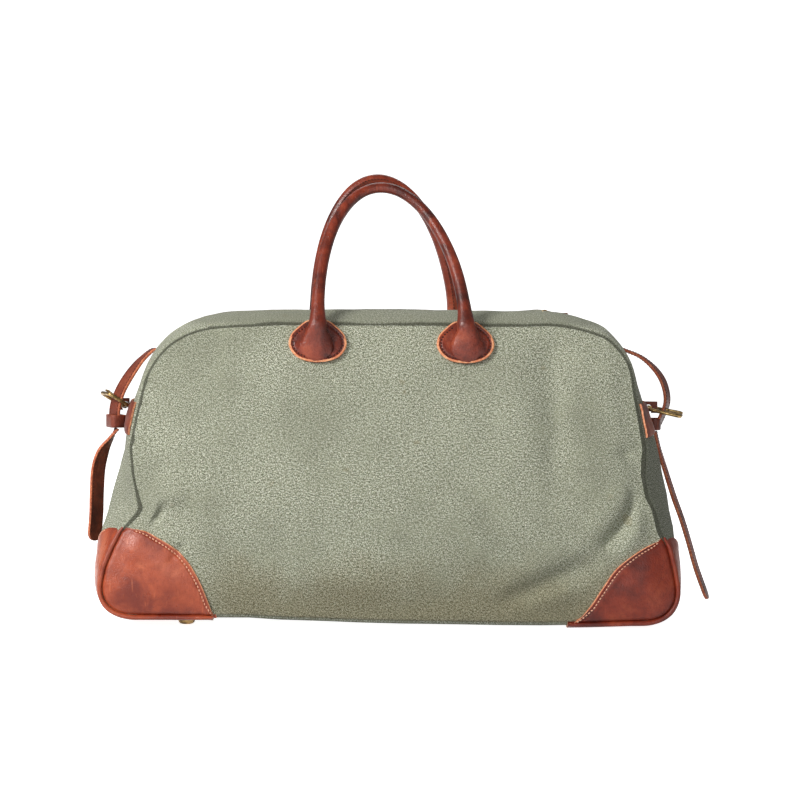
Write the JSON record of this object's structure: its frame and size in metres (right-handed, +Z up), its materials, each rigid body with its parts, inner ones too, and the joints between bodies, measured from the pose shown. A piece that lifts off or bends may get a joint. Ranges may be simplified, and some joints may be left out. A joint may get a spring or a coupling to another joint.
{
  "type": "duffel bag",
  "caption": "Washed-canvas duffel bag with leather corners, twin rolled leather handles, a top zip and a buckled leather strap at each end, on brass feet.",
  "frame": {"origin": "on the ground under the middle of the base", "axes": "+X along the bag's length, towards the end where the zip slider parks when closed; front faces -Y; +Z up"},
  "size_m": [0.6299, 0.2336, 0.4602],
  "materials": {
    "canvas": "washed cotton canvas",
    "lining": "plain cotton",
    "board": "dark fibre board",
    "leather": "waxed red-brown leather",
    "rope": "cotton rope",
    "tape": "woven tape",
    "brass": "aged brass"
  },
  "bodies": {
    "shell": {"front_panel": "canvas", "back_panel": "canvas", "base_panel": "canvas", "end_gusset_left": "canvas", "end_gusset_right": "canvas", "lining": "lining", "base_board": "board", "corner_face_front_left": "leather", "corner_side_front_left": "leather", "corner_welt_front_left": "leather", "handle_tab_front_left": "leather", "foot_front_left": "brass", "corner_face_front_right": "leather", "corner_side_front_right": "leather", "corner_welt_front_right": "leather", "handle_tab_front_right": "leather", "foot_front_right": "brass", "corner_face_back_left": "leather", "corner_side_back_left": "leather", "corner_welt_back_left": "leather", "handle_tab_back_left": "leather", "foot_back_left": "brass", "corner_face_back_right": "leather", "corner_side_back_right": "leather", "corner_welt_back_right": "leather", "handle_tab_back_right": "leather", "foot_back_right": "brass", "zip_end_left": "brass", "end_band_left": "leather", "buckle_tab_left": "leather", "strap_keeper_left": "leather", "end_strap_left": "leather", "zip_end_right": "brass", "end_band_right": "leather", "buckle_tab_right": "leather", "strap_keeper_right": "leather", "end_strap_right": "leather"},
    "mouth_front": {"top_flap_front": "canvas", "zip_tape_front": "tape", "zip_teeth_front": "brass"},
    "handle_front": {"handle_front": "leather", "handle_core_front": "rope"},
    "mouth_back": {"top_flap_back": "canvas", "zip_tape_back": "tape", "zip_teeth_back": "brass"},
    "handle_back": {"handle_back": "leather", "handle_core_back": "rope"},
    "zip_slider": {"zip_slider": "brass"},
    "zip_pull": {"zip_pull": "leather", "zip_pull_ring": "brass"},
    "buckle_left": {"buckle_frame_left": "brass"},
    "buckle_pin_left": {"buckle_pin_left": "brass"},
    "strap_tail_left": {"strap_tail_left": "leather"},
    "buckle_right": {"buckle_frame_right": "brass"},
    "buckle_pin_right": {"buckle_pin_right": "brass"},
    "strap_tail_right": {"strap_tail_right": "leather"}
  },
  "joints": [
    {"name": "handle_front", "type": "hinge", "parent": "shell", "child": "handle_front", "pos_m": [0, -0.0815, 0.3], "axis": [1, 0, 0], "range_deg": [-4, 110]},
    {"name": "handle_back", "type": "hinge", "parent": "shell", "child": "handle_back", "pos_m": [0, 0.0815, 0.3], "axis": [-1, 0, 0], "range_deg": [-24, 110]},
    {"name": "mouth_front", "type": "hinge", "parent": "shell", "child": "mouth_front", "pos_m": [0, -0.0622, 0.30444], "axis": [-1, 0, 0], "range_deg": [0, 90]},
    {"name": "mouth_back", "type": "hinge", "parent": "shell", "child": "mouth_back", "pos_m": [0, 0.0622, 0.30444], "axis": [1, 0, 0], "range_deg": [0, 90]},
    {"name": "zip_slide", "type": "slide", "parent": "shell", "child": "zip_slider", "axis": [-1, 0, 0], "range_m": [0, 0.324]},
    {"name": "zip_pull", "type": "hinge", "parent": "zip_slider", "child": "zip_pull", "pos_m": [0.162, 0, 0.31269], "axis": [0, -1, 0], "range_deg": [0, 170]},
    {"name": "buckle_left", "type": "hinge", "parent": "shell", "child": "buckle_left", "pos_m": [-0.27085, -0.00393, 0.215], "axis": [-0.3746, 0.9272, 0], "range_deg": [-50, 0]},
    {"name": "buckle_pin_left", "type": "hinge", "parent": "shell", "child": "buckle_pin_left", "pos_m": [-0.27085, -0.00393, 0.215], "axis": [-0.3746, 0.9272, 0], "range_deg": [0, 12]},
    {"name": "strap_tail_left", "type": "hinge", "parent": "shell", "child": "strap_tail_left", "pos_m": [-0.276, -0.0064, 0.1923], "axis": [-0.3746, 0.9272, 0], "range_deg": [0, 50]},
    {"name": "buckle_right", "type": "hinge", "parent": "shell", "child": "buckle_right", "pos_m": [0.27138, -0.00218, 0.215], "axis": [-0.2079, -0.9781, 0], "range_deg": [-25, 0]},
    {"name": "buckle_pin_right", "type": "hinge", "parent": "shell", "child": "buckle_pin_right", "pos_m": [0.27138, -0.00218, 0.215], "axis": [-0.2079, -0.9781, 0], "range_deg": [0, 20]},
    {"name": "strap_tail_right", "type": "hinge", "parent": "shell", "child": "strap_tail_right", "pos_m": [0.2776, -0.0035, 0.1923], "axis": [-0.2079, -0.9781, 0], "range_deg": [0, 60]}
  ],
  "couplings": [
    {"joint": "mouth_back", "follows": "mouth_front", "ratio": 1}
  ]
}
